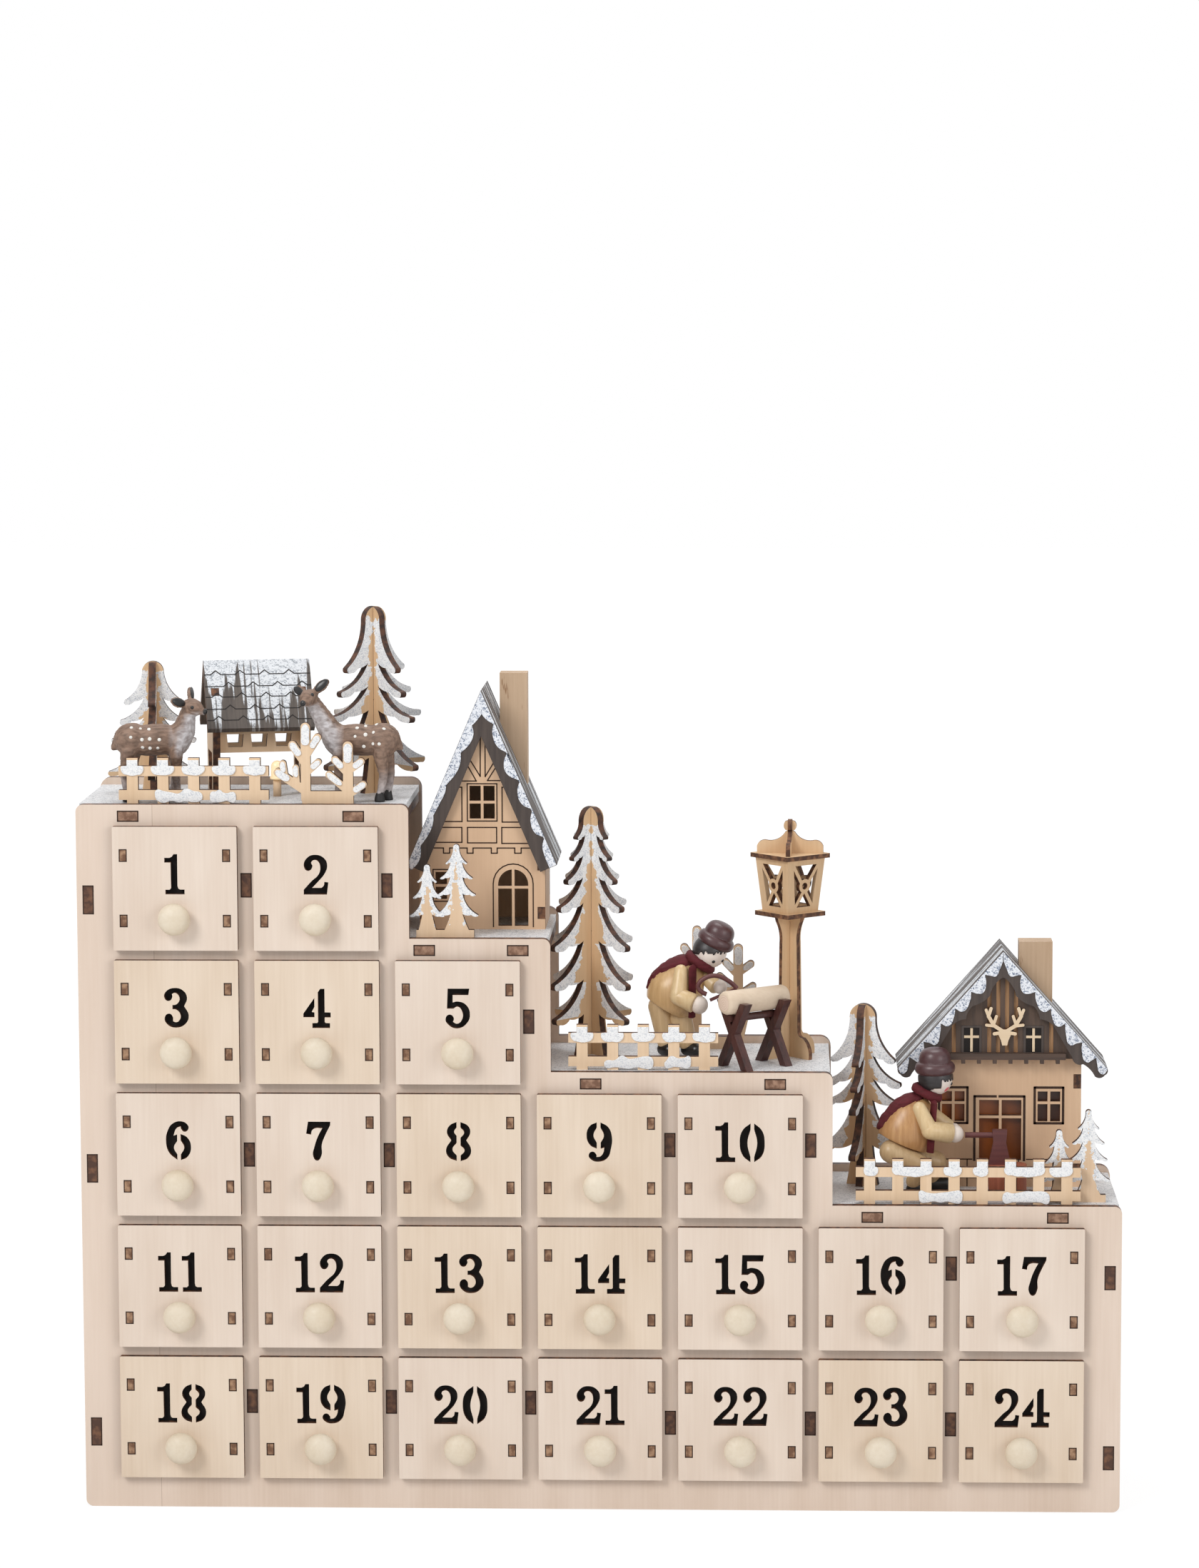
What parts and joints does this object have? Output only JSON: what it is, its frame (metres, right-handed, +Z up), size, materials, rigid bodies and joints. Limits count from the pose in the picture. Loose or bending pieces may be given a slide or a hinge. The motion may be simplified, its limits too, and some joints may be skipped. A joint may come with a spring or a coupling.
{
  "type": "wooden advent calendar",
  "caption": "Stepped plywood cabinet of small numbered pull-out drawers for December, with a lighted snowy woodland village of huts, trees, figures and deer on its decks.",
  "frame": {"origin": "middle of the cabinet's footprint, on the surface that it stands on", "axes": "+Z up, -Y out of the drawer fronts towards the viewer, +X along the front towards the lowest step"},
  "size_m": [0.419, 0.0898, 0.3637],
  "materials": {
    "birch_ply": "matt",
    "snow": "glittering white coat",
    "brown_stain": "dark brown stain",
    "grey_stain": "grey brown stain",
    "red_stain": "red brown stain",
    "painted_wood": "hand painted",
    "fawn_resin": "painted cast resin",
    "black_plastic": "matt",
    "lamp_lens": "clear warm"
  },
  "bodies": {
    "cabinet": {"front_panel": "birch_ply", "back_panel": "birch_ply", "base_panel": "birch_ply", "side_panels": "birch_ply", "column_dividers": "birch_ply", "row_shelves": "birch_ply", "deck_boards": "birch_ply", "snow_boards": "snow", "battery_case": "black_plastic", "battery_cover": "black_plastic", "small_spruce": "birch_ply", "tall_spruce": "birch_ply", "middle_spruce": "birch_ply", "low_spruce": "birch_ply", "picket_fences": "birch_ply", "shrubs": "birch_ply", "twin_spruces": "birch_ply", "house_walls": "birch_ply", "house_roof": "brown_stain", "house_fascia": "brown_stain", "chalet_walls": "birch_ply", "chalet_roof": "brown_stain", "chalet_gable": "brown_stain", "chimneys": "birch_ply", "feeder_frame": "birch_ply", "feeder_roof": "grey_stain", "lamps": "lamp_lens", "street_lamp": "birch_ply", "sawhorse": "brown_stain", "chopping_block": "red_stain", "sawyer": "painted_wood", "woodcutter": "painted_wood", "hand_tools": "red_stain", "left_fawn": "fawn_resin", "right_fawn": "fawn_resin"},
    "drawer_01": {"drawer_01": "birch_ply"},
    "drawer_02": {"drawer_02": "birch_ply"},
    "drawer_03": {"drawer_03": "birch_ply"},
    "drawer_04": {"drawer_04": "birch_ply"},
    "drawer_05": {"drawer_05": "birch_ply"},
    "drawer_06": {"drawer_06": "birch_ply"},
    "drawer_07": {"drawer_07": "birch_ply"},
    "drawer_08": {"drawer_08": "birch_ply"},
    "drawer_09": {"drawer_09": "birch_ply"},
    "drawer_10": {"drawer_10": "birch_ply"},
    "drawer_11": {"drawer_11": "birch_ply"},
    "drawer_12": {"drawer_12": "birch_ply"},
    "drawer_13": {"drawer_13": "birch_ply"},
    "drawer_14": {"drawer_14": "birch_ply"},
    "drawer_15": {"drawer_15": "birch_ply"},
    "drawer_16": {"drawer_16": "birch_ply"},
    "drawer_17": {"drawer_17": "birch_ply"},
    "drawer_18": {"drawer_18": "birch_ply"},
    "drawer_19": {"drawer_19": "birch_ply"},
    "drawer_20": {"drawer_20": "birch_ply"},
    "drawer_21": {"drawer_21": "birch_ply"},
    "drawer_22": {"drawer_22": "birch_ply"},
    "drawer_23": {"drawer_23": "birch_ply"},
    "drawer_24": {"drawer_24": "birch_ply"},
    "switch": {"switch_slider": "black_plastic"}
  },
  "joints": [
    {"name": "drawer_01_slide", "type": "slide", "parent": "cabinet", "child": "drawer_01", "axis": [0, -1, 0], "range_m": [0, 0.046]},
    {"name": "drawer_02_slide", "type": "slide", "parent": "cabinet", "child": "drawer_02", "axis": [0, -1, 0], "range_m": [0, 0.046]},
    {"name": "drawer_03_slide", "type": "slide", "parent": "cabinet", "child": "drawer_03", "axis": [0, -1, 0], "range_m": [0, 0.046]},
    {"name": "drawer_04_slide", "type": "slide", "parent": "cabinet", "child": "drawer_04", "axis": [0, -1, 0], "range_m": [0, 0.046]},
    {"name": "drawer_05_slide", "type": "slide", "parent": "cabinet", "child": "drawer_05", "axis": [0, -1, 0], "range_m": [0, 0.046]},
    {"name": "drawer_06_slide", "type": "slide", "parent": "cabinet", "child": "drawer_06", "axis": [0, -1, 0], "range_m": [0, 0.046]},
    {"name": "drawer_07_slide", "type": "slide", "parent": "cabinet", "child": "drawer_07", "axis": [0, -1, 0], "range_m": [0, 0.046]},
    {"name": "drawer_08_slide", "type": "slide", "parent": "cabinet", "child": "drawer_08", "axis": [0, -1, 0], "range_m": [0, 0.046]},
    {"name": "drawer_09_slide", "type": "slide", "parent": "cabinet", "child": "drawer_09", "axis": [0, -1, 0], "range_m": [0, 0.046]},
    {"name": "drawer_10_slide", "type": "slide", "parent": "cabinet", "child": "drawer_10", "axis": [0, -1, 0], "range_m": [0, 0.046]},
    {"name": "drawer_11_slide", "type": "slide", "parent": "cabinet", "child": "drawer_11", "axis": [0, -1, 0], "range_m": [0, 0.046]},
    {"name": "drawer_12_slide", "type": "slide", "parent": "cabinet", "child": "drawer_12", "axis": [0, -1, 0], "range_m": [0, 0.046]},
    {"name": "drawer_13_slide", "type": "slide", "parent": "cabinet", "child": "drawer_13", "axis": [0, -1, 0], "range_m": [0, 0.046]},
    {"name": "drawer_14_slide", "type": "slide", "parent": "cabinet", "child": "drawer_14", "axis": [0, -1, 0], "range_m": [0, 0.046]},
    {"name": "drawer_15_slide", "type": "slide", "parent": "cabinet", "child": "drawer_15", "axis": [0, -1, 0], "range_m": [0, 0.046]},
    {"name": "drawer_16_slide", "type": "slide", "parent": "cabinet", "child": "drawer_16", "axis": [0, -1, 0], "range_m": [0, 0.046]},
    {"name": "drawer_17_slide", "type": "slide", "parent": "cabinet", "child": "drawer_17", "axis": [0, -1, 0], "range_m": [0, 0.046]},
    {"name": "drawer_18_slide", "type": "slide", "parent": "cabinet", "child": "drawer_18", "axis": [0, -1, 0], "range_m": [0, 0.046]},
    {"name": "drawer_19_slide", "type": "slide", "parent": "cabinet", "child": "drawer_19", "axis": [0, -1, 0], "range_m": [0, 0.046]},
    {"name": "drawer_20_slide", "type": "slide", "parent": "cabinet", "child": "drawer_20", "axis": [0, -1, 0], "range_m": [0, 0.046]},
    {"name": "drawer_21_slide", "type": "slide", "parent": "cabinet", "child": "drawer_21", "axis": [0, -1, 0], "range_m": [0, 0.046]},
    {"name": "drawer_22_slide", "type": "slide", "parent": "cabinet", "child": "drawer_22", "axis": [0, -1, 0], "range_m": [0, 0.046]},
    {"name": "drawer_23_slide", "type": "slide", "parent": "cabinet", "child": "drawer_23", "axis": [0, -1, 0], "range_m": [0, 0.046]},
    {"name": "drawer_24_slide", "type": "slide", "parent": "cabinet", "child": "drawer_24", "axis": [0, -1, 0], "range_m": [0, 0.046]},
    {"name": "switch_slide", "type": "slide", "parent": "cabinet", "child": "switch", "axis": [0, 0, 1], "range_m": [0, 0.004]}
  ]
}
